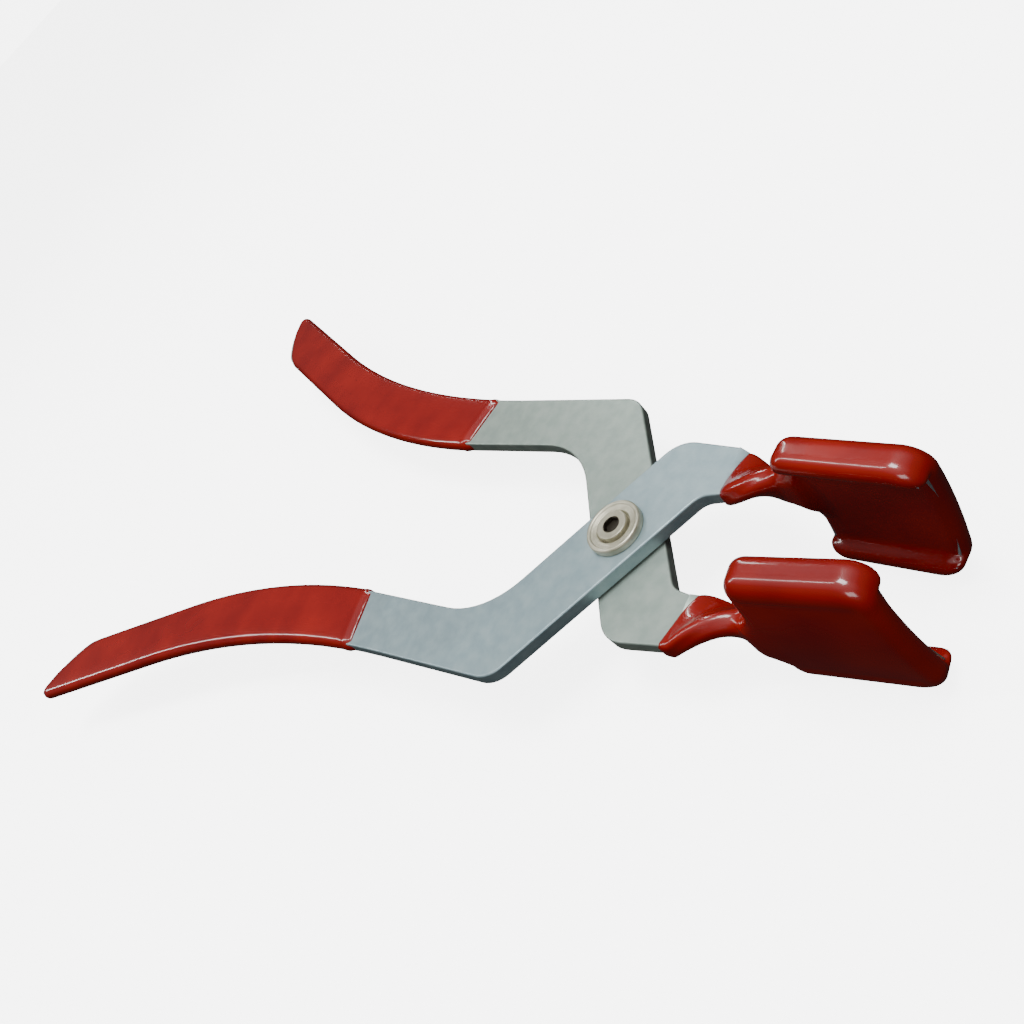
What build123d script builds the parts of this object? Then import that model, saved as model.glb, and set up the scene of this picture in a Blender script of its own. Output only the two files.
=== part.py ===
"""Hand clamp: two flat steel levers that cross at one pivot, with dipped grips and dipped jaws.

Frame: millimetres. X runs along the tool, jaws at +X and handles at -X. Z is the pivot axis, and
the origin is on it, midway between the two levers. Both levers are one stamping, used twice: the
rear one is the front one turned half a turn about X. The tool is drawn part open.
"""
import os
from math import cos, radians, sin

from build123d import *

# ---- driving dimensions -------------------------------------------------------------------------
PLATE = 4.0              # steel thickness of a lever
BAR_WIDTH = 20.0         # lever width across the pivot
LEAN = 55.4              # angle of the pivot bar from the tool's long axis, degrees
HANDLE_INNER_Y = 28.2    # inner edge of a handle off the tool's axis, beside the elbow
HANDLE_NARROW = 16.4     # handle width beside the elbow
HANDLE_KNEE_X = 133.0    # where the two straight runs of a handle would cross, left of the pivot
HANDLE_SWING = 22.4      # how far a handle's tail turns outwards, degrees
HANDLE_REACH = 260.0     # tip of a handle's steel, left of the pivot
INNER_BEND = 270.0       # radius of a handle's inner edge
OUTER_BEND = 330.0       # radius of a handle's outer edge
SHOULDER_Y = 27.1        # outer corner of the shoulder, off the tool's axis
NECK_WIDTH = 13.2        # neck where it begins to twist
NECK_END_WIDTH = 8.8     # neck where it runs into the jaw plate
NECK_START_X = 25.0      # the twist begins
NECK_END_X = 42.0        # the twist ends
JAW_START_X = 46.0       # near end of a jaw plate
JAW_LENGTH = 32.0        # jaw plate, along its own lever's side
JAW_SLANT = 3.8          # how much shorter the plate is along its other side
JAW_HEIGHT = 37.2        # jaw plate across, along Z
JAW_SHIFT = 0.6          # jaw plate off centre, towards its own lever's side
JAW_TOE = 4.4            # how far a jaw points inwards, degrees
JAW_OUTER_Y = 17.1       # outer steel face of a jaw at its near end
JAW_CROWN = 1.6          # how far the middle of a jaw bows outwards
FLANGE_DEPTH = 6.2       # a jaw's turned-in edge, outer face to lip
JAW_END_CORNER = 5.5     # corners of a jaw's far end, seen from inside
JAW_NEAR_CORNER = 3.5    # corners of a jaw's near end
NECK_RISE = 2.0          # the near end slopes away from the neck this much, own lever's side
NECK_FALL = 5.0          # and this much on the other side
NECK_LAP = 0.4           # a jaw plate's stub reaches this far into the neck
COAT = 1.0               # thickness of the dipped vinyl
GRIP_START_X = 80.0      # where a dipped grip begins, left of the pivot
FRONT_DIP = (26.2, 11.0)   # a jaw dip's end line: X at mid neck, and its slope off square
REAR_DIP = (24.5, -17.0)
DIP_LAP = 8.0            # longest a dip reaches back over the flat neck
SPACER = 0.5             # washer between the levers
SCREW_DIA = 5.0          # pivot screw shank
RUNNING_GAP = 0.05       # radial clearance of a bore that turns on the screw
STAMPED_EDGE = 0.5       # rounding of the lever's stamped edges
JAW_EDGE = 1.9           # rounding of a jaw plate's outer rim and of its lips

DISC_DIA = 15.2          # dished washer under the screw head
DISC_HEIGHT = 2.2
DISC_SEAT = 0.7          # floor of the washer's recess
DISH_DEPTH = 0.6         # depth of the washer's dished ring
RIM_WIDTH = 1.3          # raised rim of the washer
HEAD_DIA = 8.4           # screw head
HEAD_HEIGHT = 1.9
HEAD_GAP = 0.35          # recess clearance around the screw head
HEX_KEY = 4.0            # socket across flats
HEX_DEPTH = 1.3
SPACER_DIA = 15.0
BACK_WASHER_DIA = 15.0
BACK_WASHER = 1.2
NUT_ACROSS = 8.0
NUT_HEIGHT = 4.0
COLLAR = 1.2             # locking collar above the nut's hexagon
INSERT_DIA = 6.4         # plastic locking ring
SCREW_TAIL = 0.8         # screw showing past the nut

# ---- worked out ---------------------------------------------------------------------------------
FRONT_LOW = SPACER / 2                     # lower face of the front lever
FRONT_TOP = FRONT_LOW + PLATE
LEVER_MID = FRONT_LOW + PLATE / 2
BORE = SCREW_DIA + 2 * RUNNING_GAP
ELBOW_SLOPE = 1.2                          # slope of a handle's outer edge by the elbow, degrees
SHOULDER_FALL = -6.3                       # slope of the neck's outer edge, degrees
ARMPIT_RISE = 10.0                         # slope of the neck's inner edge, degrees
TAIL_FLARE = 1.2                           # the tail's outer edge turns this much further, degrees
BLUNT_RUN = 16.5                           # the blunt end starts this far short of the tip, along X
BLUNT_BOW = 4.2                            # how far the blunt end bows out
GRIP_SLANT = 12.0                          # slope of a grip's end line off square, degrees
FAR = 60.0                                 # longer than any cut needs to be

os.makedirs("parts", exist_ok=True)


def save(part, name):
    """Name a finished piece and write it."""
    part.label = name
    export_step(part, f"parts/{name}.step")


def along(angle):
    """Unit vector in the lever's plane, at an angle from X."""
    return Vector(cos(radians(angle)), sin(radians(angle)))


def crossing(p, p_angle, q, q_angle):
    """Where two lines in the lever's plane meet, each given by a point and an angle."""
    d, e = along(p_angle), along(q_angle)
    step = ((q.X - p.X) * e.Y - (q.Y - p.Y) * e.X) / (d.X * e.Y - d.Y * e.X)
    return p + d * step


def on_line(p, angle, x):
    """Point at a given X on the line through p."""
    return p + along(angle) * ((x - p.X) / cos(radians(angle)))


# ---- the lever's plan: straight edges, then rounded corners -------------------------------------
bar_run = along(LEAN)
bar_side = Vector(-bar_run.Y, bar_run.X)
bar_inner = bar_side * (BAR_WIDTH / 2)       # a point on the bar's edge towards the handles
bar_outer = bar_side * (-BAR_WIDTH / 2)

elbow_inner = crossing(bar_inner, LEAN, Vector(0, -HANDLE_INNER_Y), 0)
elbow_outer = crossing(bar_outer, LEAN, Vector(elbow_inner.X, -HANDLE_INNER_Y - HANDLE_NARROW), ELBOW_SLOPE)
knee_inner = Vector(-HANDLE_KNEE_X, -HANDLE_INNER_Y)
knee_outer = on_line(elbow_outer, ELBOW_SLOPE, -HANDLE_KNEE_X)
tail_blunt = on_line(knee_inner, HANDLE_SWING, BLUNT_RUN - HANDLE_REACH)
tail_tip = on_line(knee_outer, HANDLE_SWING + TAIL_FLARE, -HANDLE_REACH)
tail_bow = (tail_blunt + tail_tip) * 0.5 - along(HANDLE_SWING) * BLUNT_BOW
shoulder = crossing(bar_inner, LEAN, Vector(BAR_WIDTH / 3, SHOULDER_Y), SHOULDER_FALL)
neck_outer = on_line(shoulder, SHOULDER_FALL, NECK_START_X)
neck_inner = neck_outer - Vector(0, NECK_WIDTH)
armpit = crossing(bar_outer, LEAN, neck_inner, ARMPIT_RISE)
neck_mid = (neck_outer + neck_inner) * 0.5
CORNERS = ((tail_tip, 2.5), (knee_outer, OUTER_BEND), (elbow_outer, 9.0), (armpit, 5.0),
           (shoulder, 9.0), (elbow_inner, 27.0), (knee_inner, INNER_BEND), (tail_blunt, 16.0))

jaw_run = along(-JAW_TOE)
jaw_in = Vector(jaw_run.Y, -jaw_run.X)       # from a jaw's outer face towards the other jaw
jaw_start = Vector(JAW_START_X, JAW_OUTER_Y)
JAW_ACROSS = Plane(origin=jaw_start, x_dir=jaw_in, z_dir=-jaw_run)
JAW_FLAT = Plane(origin=jaw_start, x_dir=jaw_run, z_dir=jaw_in)
JAW_TOP = JAW_SHIFT + JAW_HEIGHT / 2         # a front jaw's edge on its own lever's side
JAW_LOW = JAW_SHIFT - JAW_HEIGHT / 2


def lever_plan(grow):
    """Outline of the flat lever from tail to neck, grown sideways by `grow`."""
    with BuildSketch() as plan:
        with BuildLine():
            Polyline(tail_tip, knee_outer, elbow_outer, armpit, neck_inner, neck_outer,
                     shoulder, elbow_inner, knee_inner, tail_blunt)
            ThreePointArc(tail_blunt, tail_bow, tail_tip)
        make_face()
        for corner, radius in CORNERS:
            fillet(plan.vertices().sort_by_distance(corner)[0], radius)
        if grow:
            offset(amount=grow, kind=Kind.ARC)
    return plan.sketch


def neck_section(share):
    """Plane across the twisting neck, a share of the way from the bar to the jaw.

    Its x points to the edge that was the outer one, and its origin is on the neck's mid line.
    """
    jaw_mid = jaw_start + jaw_in * (PLATE / 2) + jaw_run * (NECK_END_X - JAW_START_X)
    place = neck_mid + (jaw_mid - neck_mid) * share
    run = along(-JAW_TOE * share)
    side = Vector(-run.Y, run.X)
    turn = radians(90 * share)
    outward = side * cos(turn) - Vector(0, 0, 1) * sin(turn)
    taper = (NECK_WIDTH - NECK_END_WIDTH) / 2 * share
    place = place + Vector(0, 0, LEVER_MID) - outward * taper
    return Plane(origin=place, x_dir=outward, z_dir=run)


def jaw_profile(grow):
    """A jaw's cross-section, a bowed web with both edges turned in. x runs inwards, y along Z."""
    top, low = JAW_TOP + grow, JAW_LOW - grow
    thick = PLATE + 2 * grow
    back, face, lip = -grow, PLATE + grow, FLANGE_DEPTH + grow
    with BuildSketch() as profile:
        with BuildLine():
            ThreePointArc((back, low), (back - JAW_CROWN, JAW_SHIFT), (back, top))
            Polyline((back, top), (lip, top), (lip, top - thick), (face, top - thick))
            ThreePointArc((face, top - thick), (face - JAW_CROWN, JAW_SHIFT), (face, low + thick))
            Polyline((face, low + thick), (lip, low + thick), (lip, low), (back, low))
        make_face()
        lips = profile.vertices().group_by(Axis.X)[-1].sort_by(Axis.Y)
        fillet([lips[0], lips[-1]], JAW_EDGE + 0.9 * grow)
        fillet(lips[1:3], JAW_EDGE)
    return profile.sketch


def jaw_side(grow):
    """A jaw seen from inside: x runs along the jaw, y along Z."""
    top, low = JAW_TOP + grow, JAW_LOW - grow
    neck_top = LEVER_MID + NECK_WIDTH / 2 + grow
    neck_low = LEVER_MID + NECK_WIDTH / 2 - NECK_END_WIDTH - grow
    start = NECK_END_X - JAW_START_X - NECK_LAP
    top_end, low_end = JAW_LENGTH + grow, JAW_LENGTH - JAW_SLANT + grow
    with BuildSketch() as side:
        with BuildLine():
            Polyline((start, neck_low), (start, neck_top), (-grow, neck_top + NECK_RISE), (-grow, top),
                     (top_end, top), (low_end, low), (-grow, low), (-grow, neck_low - NECK_FALL),
                     (start, neck_low))
        make_face()
        for corner, radius in (((top_end, top), JAW_END_CORNER + grow),
                               ((low_end, low), JAW_END_CORNER + grow),
                               ((-grow, top), JAW_NEAR_CORNER), ((-grow, low), JAW_NEAR_CORNER),
                               ((-grow, neck_low - NECK_FALL), NECK_FALL)):
            fillet(side.vertices().sort_by_distance(corner)[0], radius)
    return side.sketch


def jaw_plate(grow):
    """The jaw plate: its cross-section run along the jaw, trimmed to its side view and rounded."""
    middle = jaw_start + jaw_run * (JAW_LENGTH / 2) - jaw_in * (JAW_CROWN + grow)
    with BuildPart() as plate:
        with BuildSketch(JAW_ACROSS):
            add(jaw_profile(grow))
        extrude(amount=FAR, both=True)
        with BuildSketch(JAW_FLAT):
            add(jaw_side(grow))
        extrude(amount=FAR, both=True, mode=Mode.INTERSECT)
        outer_face = plate.faces().sort_by_distance(middle)[0]
        rim = outer_face.edges().filter_by(lambda e: e.center().X > NECK_END_X + 0.2)
        fillet(rim, JAW_EDGE + grow)
    return plate.part


def twisted_neck(grow):
    """The neck: the bar's section turned a quarter turn on its way to the jaw."""
    steps = 4
    with BuildPart() as neck:
        for step in range(steps + 1):
            share = step / steps
            width = NECK_WIDTH + (NECK_END_WIDTH - NECK_WIDTH) * share
            with BuildSketch(neck_section(share)):
                Rectangle(width + 2 * grow, PLATE + 2 * grow)
        loft()
    return neck.part


def grip_region():
    """Everything of a handle past the slanted line where its grip begins."""
    start = Vector(-GRIP_START_X, -HANDLE_INNER_Y - HANDLE_NARROW / 2)
    with BuildSketch() as region:
        with Locations(Location((start.X, start.Y), GRIP_SLANT)):
            Rectangle(HANDLE_REACH, HANDLE_REACH, align=(Align.MAX, Align.CENTER))
    return region.sketch


# ---- levers -------------------------------------------------------------------------------------
front_neck = twisted_neck(0)
front_plate = jaw_plate(0)
with BuildPart() as flat_bar:
    with BuildSketch(Plane.XY.offset(FRONT_LOW)):
        add(lever_plan(0))
    extrude(amount=PLATE)
    broad = flat_bar.faces().filter_by(Axis.Z)
    fillet(broad.edges().filter_by(lambda e: e.center().X < NECK_START_X - 0.1), STAMPED_EDGE)
    with BuildSketch():
        Circle(BORE / 2)
    extrude(amount=FAR, mode=Mode.SUBTRACT)

with BuildPart() as front_lever:
    add(flat_bar.part)
    add(front_neck)
    add(front_plate)
save(front_lever.part, "front_lever")

with BuildPart() as rear_lever:
    add(front_lever.part, rotation=(180, 0, 0))
save(rear_lever.part, "rear_lever")



def jaw_sleeve(start_x, slant):
    """The dip over a jaw, from its end line on the flat neck, in the front lever's place."""
    with BuildPart() as sleeve:
        with BuildSketch(Plane.XY.offset(FRONT_LOW - COAT)):
            add(lever_plan(COAT))
            with Locations((NECK_START_X - DIP_LAP / 2, SHOULDER_Y)):
                Rectangle(DIP_LAP, FAR, mode=Mode.INTERSECT)
        extrude(amount=PLATE + 2 * COAT)
        rims = sleeve.faces().filter_by(Axis.Z).edges()
        long_rims = rims.filter_by(lambda e: abs(e.tangent_at(0).X) > abs(e.tangent_at(0).Y))
        fillet(long_rims, STAMPED_EDGE + COAT)
        add(twisted_neck(COAT))
        add(jaw_plate(COAT))
        with BuildSketch():
            with Locations(Location((start_x, neck_mid.Y), -slant)):
                Rectangle(FAR, FAR, align=(Align.MAX, Align.CENTER))
        extrude(amount=FAR / 2, both=True, mode=Mode.SUBTRACT)
        add(flat_bar.part, mode=Mode.SUBTRACT)
        add(front_neck, mode=Mode.SUBTRACT)
        add(front_plate, mode=Mode.SUBTRACT)
    return sleeve.part


# ---- dipped grips and jaws ----------------------------------------------------------------------
with BuildPart() as front_grip:
    with BuildSketch(Plane.XY.offset(FRONT_LOW - COAT)):
        add(lever_plan(COAT))
        add(grip_region(), mode=Mode.INTERSECT)
    extrude(amount=PLATE + 2 * COAT)
    outer_rims = front_grip.faces().filter_by(Axis.Z).edges()
    fillet(outer_rims.filter_by(lambda e: e.center().X < -GRIP_START_X - 3 * COAT), 1.5 * COAT)
    add(front_lever.part, mode=Mode.SUBTRACT)
save(front_grip.part, "front_handle_grip")

with BuildPart() as rear_grip:
    add(front_grip.part, rotation=(180, 0, 0))
save(rear_grip.part, "rear_handle_grip")

front_sleeve = jaw_sleeve(*FRONT_DIP)
save(front_sleeve, "front_jaw_sleeve")

with BuildPart() as rear_sleeve:
    add(jaw_sleeve(*REAR_DIP), rotation=(180, 0, 0))
save(rear_sleeve.part, "rear_jaw_sleeve")

# ---- pivot --------------------------------------------------------------------------------------
recess_dia = HEAD_DIA + 2 * HEAD_GAP
with BuildPart() as dished_washer:
    with BuildSketch(Plane.XY.offset(FRONT_TOP)):
        Circle(DISC_DIA / 2)
    extrude(amount=DISC_HEIGHT)
    fillet(dished_washer.faces().sort_by(Axis.Z)[-1].edges(), 0.6)
    with BuildSketch(Plane.XY.offset(FRONT_TOP + DISC_HEIGHT)):
        Circle(DISC_DIA / 2 - RIM_WIDTH)
    extrude(amount=-DISH_DEPTH, taper=35, mode=Mode.SUBTRACT)
    with BuildSketch(Plane.XY.offset(FRONT_TOP + DISC_SEAT)):
        Circle(recess_dia / 2)
    extrude(amount=DISC_HEIGHT, mode=Mode.SUBTRACT)
    with BuildSketch(Plane.XY.offset(FRONT_TOP)):
        Circle(SCREW_DIA / 2 + 0.2)
    extrude(amount=DISC_HEIGHT, mode=Mode.SUBTRACT)
save(dished_washer.part, "dished_washer")

with BuildPart() as spacer_washer:
    with BuildSketch(Plane.XY.offset(-SPACER / 2)):
        Circle(SPACER_DIA / 2)
        Circle(BORE / 2, mode=Mode.SUBTRACT)
    extrude(amount=SPACER)
save(spacer_washer.part, "spacer_washer")

back_face = -FRONT_TOP
with BuildPart() as back_washer:
    with BuildSketch(Plane.XY.offset(back_face)):
        Circle(BACK_WASHER_DIA / 2)
        Circle(SCREW_DIA / 2 + 0.2, mode=Mode.SUBTRACT)
    extrude(amount=-BACK_WASHER)
    fillet(back_washer.faces().sort_by(Axis.Z)[0].edges().sort_by(SortBy.RADIUS)[-1], 0.3)
save(back_washer.part, "back_washer")

nut_face = back_face - BACK_WASHER
nut_end = nut_face - NUT_HEIGHT - COLLAR
with BuildPart() as lock_nut:
    with BuildSketch(Plane.XY.offset(nut_face)):
        RegularPolygon(NUT_ACROSS / 2, 6, major_radius=False)
    extrude(amount=-NUT_HEIGHT)
    with BuildSketch(Plane.XY.offset(nut_face)):
        Circle(NUT_ACROSS / 2 - 0.1)
    extrude(amount=nut_end - nut_face)
    fillet(lock_nut.faces().sort_by(Axis.Z)[0].edges(), 0.5)
    with BuildSketch(Plane.XY.offset(nut_face)):
        Circle(SCREW_DIA / 2)
    extrude(amount=nut_end - nut_face, mode=Mode.SUBTRACT)
    with BuildSketch(Plane.XY.offset(nut_end)):
        Circle(INSERT_DIA / 2)
    extrude(amount=COLLAR, mode=Mode.SUBTRACT)
save(lock_nut.part, "lock_nut")

with BuildPart() as nut_insert:
    with BuildSketch(Plane.XY.offset(nut_end)):
        Circle(INSERT_DIA / 2)
        Circle(SCREW_DIA / 2, mode=Mode.SUBTRACT)
    extrude(amount=COLLAR)
save(nut_insert.part, "nut_insert")

head_seat = FRONT_TOP + DISC_SEAT
with BuildPart() as pivot_screw:
    with BuildSketch(Plane.XY.offset(head_seat)):
        Circle(HEAD_DIA / 2)
    extrude(amount=HEAD_HEIGHT)
    fillet(pivot_screw.faces().sort_by(Axis.Z)[-1].edges(), 0.35)
    with BuildSketch(Plane.XY.offset(head_seat + HEAD_HEIGHT)):
        RegularPolygon(HEX_KEY / 2, 6, major_radius=False)
    extrude(amount=-HEX_DEPTH, mode=Mode.SUBTRACT)
    with BuildSketch(Plane.XY.offset(head_seat)):
        Circle(SCREW_DIA / 2)
    extrude(amount=nut_end - SCREW_TAIL - head_seat)
    chamfer(pivot_screw.faces().sort_by(Axis.Z)[0].edges(), 0.4)
save(pivot_screw.part, "pivot_screw")
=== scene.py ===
from math import atan2, cos, pi, radians, sin, tan

import bpy
import numpy as np
from mathutils import Matrix, Vector


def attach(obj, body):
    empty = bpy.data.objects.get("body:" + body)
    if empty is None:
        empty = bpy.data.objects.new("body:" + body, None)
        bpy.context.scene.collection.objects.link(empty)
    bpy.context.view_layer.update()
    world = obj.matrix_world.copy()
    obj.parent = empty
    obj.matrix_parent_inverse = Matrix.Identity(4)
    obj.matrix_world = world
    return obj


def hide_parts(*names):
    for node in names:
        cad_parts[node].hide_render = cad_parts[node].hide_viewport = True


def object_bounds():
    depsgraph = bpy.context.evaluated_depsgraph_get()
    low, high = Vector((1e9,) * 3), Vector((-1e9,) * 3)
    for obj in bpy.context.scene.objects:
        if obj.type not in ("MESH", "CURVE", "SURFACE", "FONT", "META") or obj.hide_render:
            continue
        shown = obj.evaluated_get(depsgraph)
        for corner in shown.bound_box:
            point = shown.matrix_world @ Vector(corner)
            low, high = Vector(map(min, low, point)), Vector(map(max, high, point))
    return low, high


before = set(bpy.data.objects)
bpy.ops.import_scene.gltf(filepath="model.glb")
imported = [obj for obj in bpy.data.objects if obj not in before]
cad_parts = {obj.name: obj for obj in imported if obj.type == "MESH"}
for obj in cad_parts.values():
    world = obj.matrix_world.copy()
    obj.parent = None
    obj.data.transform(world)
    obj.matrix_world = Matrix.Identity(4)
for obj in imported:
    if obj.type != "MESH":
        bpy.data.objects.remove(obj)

CAD_BOX = [list(corner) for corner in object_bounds()]
MM = 0.001

# ---- sizes shared with the CAD model, in millimetres --------------------------------------------
PLATE = 4.0
COAT = 1.0
LOW = 0.25                        # lower face of the front lever
MID = LOW + PLATE / 2
HALF = PLATE / 2 + COAT           # half thickness of a dipped lever
LEAN = 55.4
BAR_WIDTH = 20.0
HANDLE_INNER_Y = 28.2
HANDLE_NARROW = 16.4
KNEE_X = 133.0
SWING = 22.4
REACH = 260.0
NECK = (25.0, 42.0)               # the twist begins and ends
NECK_WIDTHS = (13.2, 8.8)
NECK_OUTER = 25.07                # neck's outer edge where the twist begins
JAW_START = (46.0, 17.1)
JAW_LENGTH = 32.0
JAW_SLANT = 3.8
JAW_TOP = 19.2
JAW_LOW = -18.0
JAW_TOE = 4.4
CROWN = 1.6
FLANGE = 6.2

# ---- sizes of the visual shapes, in millimetres and degrees -------------------------------------
HANDLE_TAPER = 1.2                # the handle's outer edge leans by this
TAIL_SETBACK = 16.5               # the blunt corner stops short of the tip
TAIL_BOW = 4.2
TIP_ROUND, BLUNT_ROUND, TAIL_ROUND = 2.5, 24.0, 16.0
OUTER_BEND, INNER_BEND = 330.0, 270.0
GRIP_EDGE = 2.4                   # rounding of a grip's edges
GRIP_INSET = 0.17
GRIP_DOME, GRIP_DOME_WIDTH = 0.55, 7
GRIP_END_ROUND = 0.5
RIDGE, RIDGE_BACK, RIDGE_WIDTH = 0.16, 3.4, 0.9
GRIP_THIN, GRIP_THIN_FROM, GRIP_THIN_TO = 0.28, -3.0, -0.4
JAW_NEAR_ROUND, JAW_FAR_ROUND = 4.4, 6.4
JAW_ROUND_FROM, JAW_ROUND_TO = 4, 22
JAW_EDGE = 2.9                    # rounding of the web's and the beads' edges
JAW_JOIN = 1.5                    # softness where outlines of the jaw meet
BEAD_JOIN, BEAD_JOIN_LEAST = 2.2, 0.02
BEAD_JOIN_FROM, BEAD_JOIN_TO = 0.8, 4.5
FLARE, FLARE_FROM, FLARE_TO = 1.3, 42.0, 50.0
NECK_STOP, NECK_STOP_ROUND = 47.0, 2.0
NECK_JOIN = 3.0
NECK_EDGE, NECK_EDGE_GROWTH = 1.8, 1.0
OUTER_SPREAD, INNER_SPREAD = 6.3, -10.0   # the flat lever's edges behind the neck
JAW_INSET = 0.08                  # keeps the skin inside the CAD solid
SLEEVE_THIN, SLEEVE_THIN_FROM, SLEEVE_THIN_TO = 0.25, -2.5, -0.2
SLEEVE_END_ROUND = 1.0
GRIP_GRID, JAW_GRID = 0.8, 0.55   # spacing of the grids the skins are found on


# ---- mesh helpers -------------------------------------------------------------------------------
def add_mesh(name, verts, faces, material, body, flip=False):
    """A smooth mesh object from millimetres. flip turns it half a turn about X."""
    verts = np.array(verts, float) * MM
    if flip:
        verts = verts * [1, -1, -1]
    mesh = bpy.data.meshes.new(name)
    mesh.from_pydata(verts.tolist(), [], [list(f) for f in faces])
    mesh.validate()
    mesh.polygons.foreach_set("use_smooth", [True] * len(mesh.polygons))
    mesh.materials.append(material)
    obj = bpy.data.objects.new(name, mesh)
    bpy.context.scene.collection.objects.link(obj)
    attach(obj, body)
    return obj


def skin(field, low, high, step):
    """Closed quad mesh of the surface where field(points) is zero, found on a grid and then refined."""
    low, high = np.array(low, float), np.array(high, float)
    n = np.ceil((high - low) / step).astype(int) + 1
    axes = [low[i] + step * np.arange(n[i]) for i in range(3)]
    grid = np.stack(np.meshgrid(*axes, indexing="ij"), -1)
    value = field(grid.reshape(-1, 3)).reshape(n)
    corners = [(i, j, k) for i in (0, 1) for j in (0, 1) for k in (0, 1)]
    total = np.zeros(tuple(n - 1) + (3,))
    count = np.zeros(tuple(n - 1))

    def part(a, c):
        return a[c[0]:n[0] - 1 + c[0], c[1]:n[1] - 1 + c[1], c[2]:n[2] - 1 + c[2]]

    for a in corners:
        for axis in range(3):
            if a[axis]:
                continue
            b = list(a)
            b[axis] = 1
            va, vb = part(value, a), part(value, b)
            cross = (va < 0) != (vb < 0)
            share = np.where(cross, va / np.where(cross, va - vb, 1), 0)[..., None]
            point = part(grid, a) + (part(grid, b) - part(grid, a)) * share
            total += np.where(cross[..., None], point, 0)
            count += cross
    used = count > 0
    index = np.full(count.shape, -1)
    index[used] = np.arange(used.sum())
    verts = total[used] / count[used][:, None]
    small = 0.02
    for _ in range(3):
        here = field(verts)
        slope = np.stack([(field(verts + small * e) - field(verts - small * e)) / (2 * small)
                          for e in np.eye(3)], -1)
        move = -here[:, None] * slope / np.maximum((slope ** 2).sum(1), 0.2)[:, None]
        verts = verts + np.clip(move, -step / 2, step / 2)
    faces = []
    for axis in range(3):
        u, v = (axis + 1) % 3, (axis + 2) % 3
        a = np.moveaxis(value, (axis, u, v), (0, 1, 2))
        cells = np.moveaxis(index, (axis, u, v), (0, 1, 2))
        inside, outside = a[:-1, 1:-1, 1:-1] < 0, a[1:, 1:-1, 1:-1] < 0
        for rising in (True, False):
            at = np.argwhere((inside != outside) & (inside == rising))
            if not len(at):
                continue
            x, y, z = at.T
            quad = np.stack([cells[x, y, z], cells[x, y + 1, z],
                             cells[x, y + 1, z + 1], cells[x, y, z + 1]], -1)
            faces.append(quad if rising else quad[:, ::-1])
    return verts, np.concatenate(faces).tolist()


def smooth_max(a, b, k):
    """The larger of two fields, blended where they differ by less than k."""
    h = np.clip(0.5 + 0.5 * (a - b) / k, 0, 1)
    return b + (a - b) * h + k * h * (1 - h)


def smooth_min(a, b, k):
    """The smaller of two fields, blended where they differ by less than k."""
    return -smooth_max(-a, -b, k)


def rounded(a, b, radius):
    """Distance to a slab-by-outline solid with its edges rounded, from two distances."""
    p, q = np.maximum(a + radius, 0), np.maximum(b + radius, 0)
    return np.sqrt(p * p + q * q) + np.minimum(np.maximum(a + radius, b + radius), 0) - radius


def outline_distance(points, outline):
    """Signed distance in the plane to a closed outline, negative inside."""
    best = np.full(len(points), 1e9)
    winding = np.zeros(len(points), bool)
    x, y = points[:, 0], points[:, 1]
    for a, b in zip(outline, np.roll(outline, -1, axis=0)):
        d = b - a
        t = np.clip(((x - a[0]) * d[0] + (y - a[1]) * d[1]) / (d @ d), 0, 1)
        best = np.minimum(best, (x - a[0] - t * d[0]) ** 2 + (y - a[1] - t * d[1]) ** 2)
        if a[1] != b[1]:
            over = (a[1] > y) != (b[1] > y)
            winding ^= over & (x < d[0] * (y - a[1]) / d[1] + a[0])
    return np.where(winding, -1, 1) * np.sqrt(best)


def step_up(x, start, end):
    """Rises smoothly from 0 at start to 1 at end."""
    t = np.clip((x - start) / (end - start), 0, 1)
    return t * t * (3 - 2 * t)


def along(angle):
    """Unit vector at an angle in degrees."""
    return np.array([cos(radians(angle)), sin(radians(angle))])


def crossing(p, pa, q, qa):
    """Where the line through p at angle pa meets the line through q at angle qa."""
    d, e = along(pa), along(qa)
    return p + d * ((q[0] - p[0]) * e[1] - (q[1] - p[1]) * e[0]) / (d[0] * e[1] - d[1] * e[0])


def on_line(p, angle, x):
    """The point at x on the line through p."""
    return p + along(angle) * (x - p[0]) / cos(radians(angle))


def corner_arc(before, corner, after, radius, steps=14):
    """Points of the arc that rounds a corner."""
    u, v = before - corner, after - corner
    u, v = u / np.hypot(*u), v / np.hypot(*v)
    half = np.arccos(np.clip(u @ v, -1, 1)) / 2
    middle = corner + (u + v) / np.hypot(*(u + v)) * radius / sin(half)
    start = corner + u * radius / tan(half) - middle
    end = corner + v * radius / tan(half) - middle
    turn = atan2(start[0] * end[1] - start[1] * end[0], start @ end)
    angles = np.linspace(0, turn, steps)
    return [middle + np.array([start[0] * cos(a) - start[1] * sin(a),
                               start[0] * sin(a) + start[1] * cos(a)]) for a in angles]


# ---- dipped handle grips ------------------------------------------------------------------------
run = along(LEAN)
bar_inner = np.array([-run[1], run[0]]) * BAR_WIDTH / 2
elbow_in = crossing(bar_inner, LEAN, np.array([0, -HANDLE_INNER_Y]), 0)
outer_start = np.array([elbow_in[0], -HANDLE_INNER_Y - HANDLE_NARROW])
elbow_out = crossing(-bar_inner, LEAN, outer_start, HANDLE_TAPER)
knee_in = np.array([-KNEE_X, -HANDLE_INNER_Y])
knee_out = on_line(elbow_out, HANDLE_TAPER, -KNEE_X)
blunt = on_line(knee_in, SWING, TAIL_SETBACK - REACH)
tip = on_line(knee_out, SWING + HANDLE_TAPER, -REACH)
bow = (blunt + tip) / 2 - along(SWING) * TAIL_BOW
BEND_STEPS = 30
handle = corner_arc(bow, tip, knee_out, TIP_ROUND)
handle += corner_arc(tip, knee_out, elbow_out, OUTER_BEND, BEND_STEPS)
handle += [elbow_out, elbow_in]
handle += corner_arc(elbow_in, knee_in, blunt, INNER_BEND, BEND_STEPS)
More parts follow.
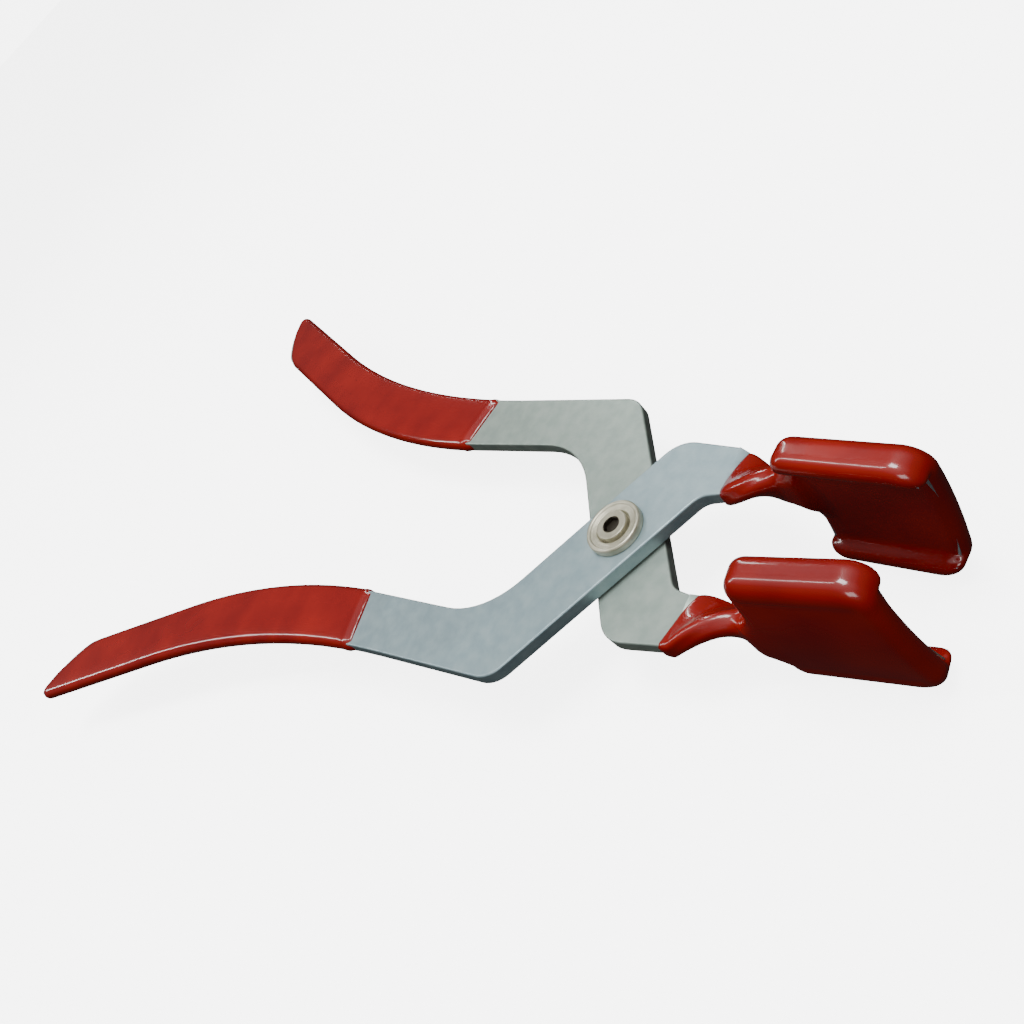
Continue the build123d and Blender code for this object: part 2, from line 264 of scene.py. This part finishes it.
handle += corner_arc(knee_in, blunt, bow, BLUNT_ROUND) + corner_arc(blunt, bow, tip, TAIL_ROUND)
handle = np.array(handle)
GRIP_START = np.array([-80.0, -HANDLE_INNER_Y - HANDLE_NARROW / 2])
GRIP_SLANT = 12.0


def grip_field(p):
    """Distance to a dipped grip: thickest behind a faint ridge near its end line."""
    side = outline_distance(p[:, :2], handle) - COAT
    past_x = (p[:, 0] - GRIP_START[0]) * cos(radians(GRIP_SLANT))
    past_y = (p[:, 1] - GRIP_START[1]) * sin(radians(GRIP_SLANT))
    past = past_x + past_y
    ridge = RIDGE * np.exp(-((past + RIDGE_BACK) / RIDGE_WIDTH) ** 2)
    ridge = ridge - GRIP_THIN * step_up(past, GRIP_THIN_FROM, GRIP_THIN_TO)
    domed = GRIP_DOME * np.clip(1 + side / GRIP_DOME_WIDTH, 0, 1) ** 2
    thick = np.abs(p[:, 2] - MID) - HALF + domed + GRIP_INSET - ridge
    body = rounded(side + GRIP_INSET - ridge, thick, GRIP_EDGE)
    return smooth_max(body, past, GRIP_END_ROUND)


# ---- dipped jaws --------------------------------------------------------------------------------
jaw_run = along(-JAW_TOE)
jaw_in = np.array([jaw_run[1], -jaw_run[0]])
TOP, BOTTOM = JAW_TOP + COAT, JAW_LOW - COAT


def jaw_outline(round_by):
    """The jaw seen from inside, shrunk by its corner radius."""
    r = round_by
    slope = JAW_SLANT / (TOP - BOTTOM)
    end_top, end_low = JAW_LENGTH + COAT, JAW_LENGTH - JAW_SLANT + COAT
    return np.array([(-COAT + r, TOP - r), (end_top - r - slope * r, TOP - r),
                     (end_low - r + slope * r, BOTTOM + r), (-COAT + r, BOTTOM + r)])


# where the neck widens into the web, seen from inside
GUSSET = np.array([(-4.8, -1.0), (-4.8, 9.9), (-0.9, 14.6), (4, 17), (4, -12), (-0.9, -6.2)])


def jaw_field(p):
    """Distance to a dipped jaw: a bowed web, two beads turned inwards and the twisting neck."""
    dx, dy = p[:, 0] - JAW_START[0], p[:, 1] - JAW_START[1]
    u = dx * jaw_run[0] + dy * jaw_run[1]
    w = dx * jaw_in[0] + dy * jaw_in[1]
    z = p[:, 2]
    uz = np.stack([u, z], -1)
    near = outline_distance(uz, jaw_outline(JAW_NEAR_ROUND)) - JAW_NEAR_ROUND
    far = outline_distance(uz, jaw_outline(JAW_FAR_ROUND)) - JAW_FAR_ROUND
    rim = near + (far - near) * step_up(u, JAW_ROUND_FROM, JAW_ROUND_TO)
    joined = smooth_min(rim, outline_distance(uz, GUSSET), JAW_JOIN)
    height = (z - (TOP + BOTTOM) / 2) / ((TOP - BOTTOM) / 2)
    bowed = w + CROWN * np.clip(1 - height ** 2, 0, 1)
    web = rounded(joined, np.abs(bowed - PLATE / 2) - HALF, JAW_EDGE)
    depth = (FLANGE + 2 * COAT) / 2
    strip = smooth_max(rim, np.minimum(TOP - 2 * HALF - z, z - BOTTOM - 2 * HALF), JAW_JOIN)
    bead = rounded(strip, np.abs(w - depth + COAT) - depth, JAW_EDGE)
    softness = BEAD_JOIN_LEAST + BEAD_JOIN * step_up(-rim, BEAD_JOIN_FROM, BEAD_JOIN_TO)
    plate = smooth_min(web, bead, softness)
    # the neck: a bar that turns a quarter turn between the flat lever and the jaw
    t = (p[:, 0] - NECK[0]) / (NECK[1] - NECK[0])
    s = np.clip(t, 0, 1)
    end = np.array(JAW_START) + jaw_in * PLATE / 2 + jaw_run * (NECK[1] - JAW_START[0])
    start = np.array([NECK[0], NECK_OUTER - NECK_WIDTHS[0] / 2])
    width = NECK_WIDTHS[0] + (NECK_WIDTHS[1] - NECK_WIDTHS[0]) * s
    turn = s * pi / 2
    toe = np.radians(-JAW_TOE * s)
    side_y, side_z = np.cos(turn), -np.sin(turn)
    mid_y = start[1] + (end[1] - start[1]) * t - side_y * (NECK_WIDTHS[0] - width) / 2
    mid_z = MID - side_z * (NECK_WIDTHS[0] - width) / 2
    back = np.maximum(NECK[0] - p[:, 0], 0)
    grow_out, grow_in = back * tan(radians(OUTER_SPREAD)), back * tan(radians(INNER_SPREAD))
    mid_y = np.where(t < 0, start[1] + (grow_out + grow_in) / 2, mid_y)
    width = width + np.where(t < 0, grow_out - grow_in, 0)
    a = ((p[:, 1] - mid_y) * side_y + (z - mid_z) * side_z) * np.cos(toe)
    b = -(p[:, 1] - mid_y) * side_z + (z - mid_z) * side_y
    flare = FLARE * step_up(p[:, 0], FLARE_FROM, FLARE_TO)
    edge = NECK_EDGE + NECK_EDGE_GROWTH * s
    neck = rounded(np.abs(a) - width / 2 - COAT - flare * 2, np.abs(b) - HALF, edge)
    neck = smooth_max(neck, p[:, 0] - NECK_STOP, NECK_STOP_ROUND)
    return smooth_min(plate, neck, NECK_JOIN) + JAW_INSET


def sleeve_field(start_x, slant):
    """The dipped jaw from a slanted, rolled end line."""
    middle = NECK_OUTER - NECK_WIDTHS[0] / 2

    def field(p):
        past = (start_x - p[:, 0]) * cos(radians(slant)) + (p[:, 1] - middle) * sin(radians(slant))
        thinned = SLEEVE_THIN * step_up(past, SLEEVE_THIN_FROM, SLEEVE_THIN_TO)
        return smooth_max(jaw_field(p) + thinned, past, SLEEVE_END_ROUND)

    return field


# ---- materials ----------------------------------------------------------------------------------
def material(name, colour, rough, metal, coat=0.0):
    made = bpy.data.materials.new(name)
    made.use_nodes = True
    shader = made.node_tree.nodes["Principled BSDF"]
    shader.inputs["Base Color"].default_value = (*colour, 1)
    shader.inputs["Roughness"].default_value = rough
    shader.inputs["Metallic"].default_value = metal
    shader.inputs["Coat Weight"].default_value = coat
    return made, shader


def noise(made, scale, detail=4.0, stretch=(1, 1, 1)):
    nodes, links = made.node_tree.nodes, made.node_tree.links
    where = nodes.new("ShaderNodeTexCoord")
    place = nodes.new("ShaderNodeMapping")
    place.inputs["Scale"].default_value = stretch
    made_noise = nodes.new("ShaderNodeTexNoise")
    made_noise.inputs["Scale"].default_value = scale
    made_noise.inputs["Detail"].default_value = detail
    links.new(where.outputs["Object"], place.inputs["Vector"])
    links.new(place.outputs["Vector"], made_noise.inputs["Vector"])
    return made_noise.outputs["Fac"]


def ramp(made, factor, stops, target):
    node = made.node_tree.nodes.new("ShaderNodeValToRGB")
    for element, (place, colour) in zip(node.color_ramp.elements, stops):
        element.position = place
        element.color = (*colour, 1)
    made.node_tree.links.new(factor, node.inputs["Fac"])
    made.node_tree.links.new(node.outputs["Color"], target)


def bump(made, shader, height, strength, distance):
    node = made.node_tree.nodes.new("ShaderNodeBump")
    node.inputs["Strength"].default_value = strength
    node.inputs["Distance"].default_value = distance
    made.node_tree.links.new(height, node.inputs["Height"])
    made.node_tree.links.new(node.outputs["Normal"], shader.inputs["Normal"])


def zinc(name, dark, light, rough=0.42):
    made, shader = material(name, light, rough, 0.55)
    ramp(made, noise(made, 260, 6), [(0.35, dark), (0.65, light)], shader.inputs["Base Color"])
    grey = made.node_tree.nodes.new("ShaderNodeMapRange")
    grey.inputs["To Min"].default_value = rough - 0.06
    grey.inputs["To Max"].default_value = rough + 0.08
    made.node_tree.links.new(noise(made, 90, 3), grey.inputs["Value"])
    made.node_tree.links.new(grey.outputs["Result"], shader.inputs["Roughness"])
    bump(made, shader, noise(made, 1400, 3), 0.12, 0.0002)
    return made


FRONT_STEEL = zinc("front zinc", (0.27, 0.37, 0.40), (0.34, 0.44, 0.46))
REAR_STEEL = zinc("rear zinc", (0.29, 0.36, 0.32), (0.36, 0.43, 0.38))
FASTENER = zinc("fastener zinc", (0.40, 0.38, 0.28), (0.56, 0.54, 0.42), 0.34)
SCREW = zinc("screw zinc", (0.36, 0.34, 0.25), (0.50, 0.48, 0.37), 0.34)
# painted shade: the colour inside the screw's hex socket is darkened to stand for the shade in its recess
SOCKET_RADIUS = 0.00236           # metres
screw_tree = SCREW.node_tree
socket_place = screw_tree.nodes.new("ShaderNodeTexCoord")
flat = screw_tree.nodes.new("ShaderNodeVectorMath")
flat.operation = "MULTIPLY"
flat.inputs[1].default_value = (1, 1, 0)
radius = screw_tree.nodes.new("ShaderNodeVectorMath")
radius.operation = "LENGTH"
in_socket = screw_tree.nodes.new("ShaderNodeMath")
in_socket.operation = "LESS_THAN"
in_socket.inputs[1].default_value = SOCKET_RADIUS
socket_shade = screw_tree.nodes.new("ShaderNodeMix")
socket_shade.data_type = "RGBA"
# near-black painted shade, mixed over the zinc colour inside SOCKET_RADIUS
socket_shade.inputs[7].default_value = (0.035, 0.03, 0.02, 1)
screw_colour = screw_tree.nodes["Principled BSDF"].inputs["Base Color"]
screw_tree.links.new(screw_colour.links[0].from_socket, socket_shade.inputs[6])
screw_tree.links.new(socket_place.outputs["Object"], flat.inputs[0])
screw_tree.links.new(flat.outputs[0], radius.inputs[0])
screw_tree.links.new(radius.outputs["Value"], in_socket.inputs[0])
screw_tree.links.new(in_socket.outputs[0], socket_shade.inputs[0])
screw_tree.links.new(socket_shade.outputs[2], screw_colour)
NYLON, _ = material("nylon", (0.70, 0.69, 0.62), 0.5, 0.0)
VINYL, vinyl_shader = material("dipped vinyl", (0.25, 0.008, 0.004), 0.22, 0.0, 0.6)
vinyl_shader.inputs["Coat Roughness"].default_value = 0.06
vinyl_shader.inputs["Specular IOR Level"].default_value = 0.45
ramp(VINYL, noise(VINYL, 60, 3), [(0.3, (0.19, 0.004, 0.003)), (0.7, (0.27, 0.008, 0.004))],
     vinyl_shader.inputs["Base Color"])
bump(VINYL, vinyl_shader, noise(VINYL, 70, 2, (0.5, 1, 1)), 0.10, 0.0006)

for node, finish in (("front_lever", FRONT_STEEL), ("rear_lever", REAR_STEEL), ("pivot_screw", SCREW),
                     ("spacer_washer", FASTENER), ("back_washer", FASTENER), ("lock_nut", FASTENER),
                     ("nut_insert", NYLON)):
    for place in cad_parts[node].material_slots:
        place.material = finish

# ---- pieces -------------------------------------------------------------------------------------
grip_verts, grip_faces = skin(grip_field, (-266, -108, MID - 4), (-76, -24, MID + 4), GRIP_GRID)
for side, flip in (("front", False), ("rear", True)):
    grip = add_mesh(side + "_grip", grip_verts, grip_faces, VINYL, side, flip)
    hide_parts(side + "_handle_grip")

for side, flip, dip in (("front", False, (26.2, 11.0)), ("rear", True, (24.5, -17.0))):
    sleeve_verts, sleeve_faces = skin(sleeve_field(*dip), (18, 3, BOTTOM - 2), (82, 30, TOP + 2), JAW_GRID)
    sleeve = add_mesh(side + "_jaw", sleeve_verts, sleeve_faces, VINYL, side, flip)
    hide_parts(side + "_jaw_sleeve")

# the dished washer: a turned profile with fine rings in its dish
seat = LOW + PLATE
profile = [(2.7, seat), (2.7, seat + 0.7), (4.55, seat + 0.7), (4.55, seat + 1.25), (4.7, seat + 1.45)]
DISH_RADIUS, RING_PITCH, DISH_HEIGHT = 4.85, 0.12, 1.62
RING_HEIGHT, DISH_RISE = 0.05, 0.02
for ring in range(13):
    ring_height = seat + DISH_HEIGHT + RING_HEIGHT * sin(ring * pi / 1.5) + DISH_RISE * ring
    profile.append((DISH_RADIUS + ring * RING_PITCH, ring_height))
profile += [(6.42, seat + 2.0), (6.6, seat + 2.14), (6.85, seat + 2.2), (7.15, seat + 2.17),
            (7.4, seat + 2.02), (7.54, seat + 1.8), (7.6, seat + 1.5), (7.6, seat + 0.15), (7.45, seat)]
AROUND = 128
ring_verts = [(r * cos(2 * pi * i / AROUND), r * sin(2 * pi * i / AROUND), h)
              for i in range(AROUND) for r, h in profile]
size = len(profile)
ring_faces = []
for i in range(AROUND):
    here, there = i * size, ((i + 1) % AROUND) * size
    for j in range(size):
        after = (j + 1) % size
        ring_faces.append((here + j, there + j, there + after, here + after))
washer = add_mesh("dished_washer_rings", ring_verts, ring_faces, FASTENER, "front")
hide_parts("dished_washer")

# ---- floor, light and camera --------------------------------------------------------------------
floor_z = CAD_BOX[0][2] - 0.0005
plane = bpy.data.meshes.new("floor")
FLOOR = 15
corners = [(x * FLOOR, y * FLOOR, floor_z) for x, y in ((-1, -1), (1, -1), (1, 1), (-1, 1))]
plane.from_pydata(corners, [], [(0, 1, 2, 3)])
floor = bpy.data.objects.new("floor", plane)
floor_look, floor_shader = material("floor", (0.90, 0.90, 0.90), 0.9, 0.0)
floor_shader.inputs["Emission Color"].default_value = (1, 1, 1, 1)
floor_shader.inputs["Emission Strength"].default_value = 5.0
plane.materials.append(floor_look)
bpy.context.scene.collection.objects.link(floor)
floor.visible_glossy = False
floor.visible_diffuse = False

world = bpy.data.worlds.new("studio")
bpy.context.scene.world = world
world.use_nodes = True
sky = world.node_tree
sky.nodes["Background"].inputs["Strength"].default_value = 1.0
heading = sky.nodes.new("ShaderNodeTexCoord")
split = sky.nodes.new("ShaderNodeSeparateXYZ")
sky.links.new(heading.outputs["Generated"], split.inputs["Vector"])
shade = sky.nodes.new("ShaderNodeValToRGB")
for place, grey in ((0.0, 0.02), (0.62, 0.16), (1.0, 1.5)):
    stop = shade.color_ramp.elements[0] if place == 0 else shade.color_ramp.elements.new(place)
    stop.position = place
    stop.color = (grey, grey, grey, 1)
shade.color_ramp.elements.remove(shade.color_ramp.elements[-1])
seen = sky.nodes.new("ShaderNodeLightPath")
pale = sky.nodes.new("ShaderNodeMix")
pale.data_type = "RGBA"
pale.inputs[7].default_value = (6.0, 6.0, 6.0, 1)
sky.links.new(split.outputs["Z"], shade.inputs["Fac"])
sky.links.new(seen.outputs["Is Camera Ray"], pale.inputs[0])
sky.links.new(shade.outputs["Color"], pale.inputs[6])
sky.links.new(pale.outputs[2], sky.nodes["Background"].inputs["Color"])


def lamp(name, place, aim, size_x, size_y, power):
    data = bpy.data.lights.new(name, "AREA")
    data.shape = "RECTANGLE"
    data.size, data.size_y, data.energy = size_x, size_y, power
    obj = bpy.data.objects.new(name, data)
    obj.location = place
    obj.rotation_euler = (Vector(aim) - Vector(place)).to_track_quat("-Z", "Y").to_euler()
    bpy.context.scene.collection.objects.link(obj)


lamp("key", (0.05, 0.15, 1.1), (0, 0, 0), 0.5, 0.4, 12.5)
lamp("front", (0.45, -0.70, 0.5), (0, 0, 0), 0.5, 0.3, 2.5)
lamp("strip", (-0.62, -0.20, 0.66), (0, 0, 0), 0.03, 0.85, 2.6)
lamp("back_strip", (-0.70, 0.62, 0.55), (0, 0, 0), 0.025, 0.6, 1.6)

CAMERA_AT = Vector((156.57, -83.30, 157.87)) * MM
right = Vector((0.6778, 0.4323, -0.5948))
down = Vector((0.0537, -0.8359, -0.5463))
ahead = Vector((-0.7333, 0.3384, -0.5897))
camera_data = bpy.data.cameras.new("camera")
camera_data.sensor_width = 36.0
camera_data.lens = 33.81
camera_data.shift_x = -0.0168
camera_data.shift_y = -0.0061
camera_data.clip_start = 0.01
camera = bpy.data.objects.new("camera", camera_data)
turned = Matrix((right, -down, -ahead)).transposed().to_4x4()
camera.matrix_world = Matrix.Translation(CAMERA_AT) @ turned
bpy.context.scene.collection.objects.link(camera)
bpy.context.scene.camera = camera
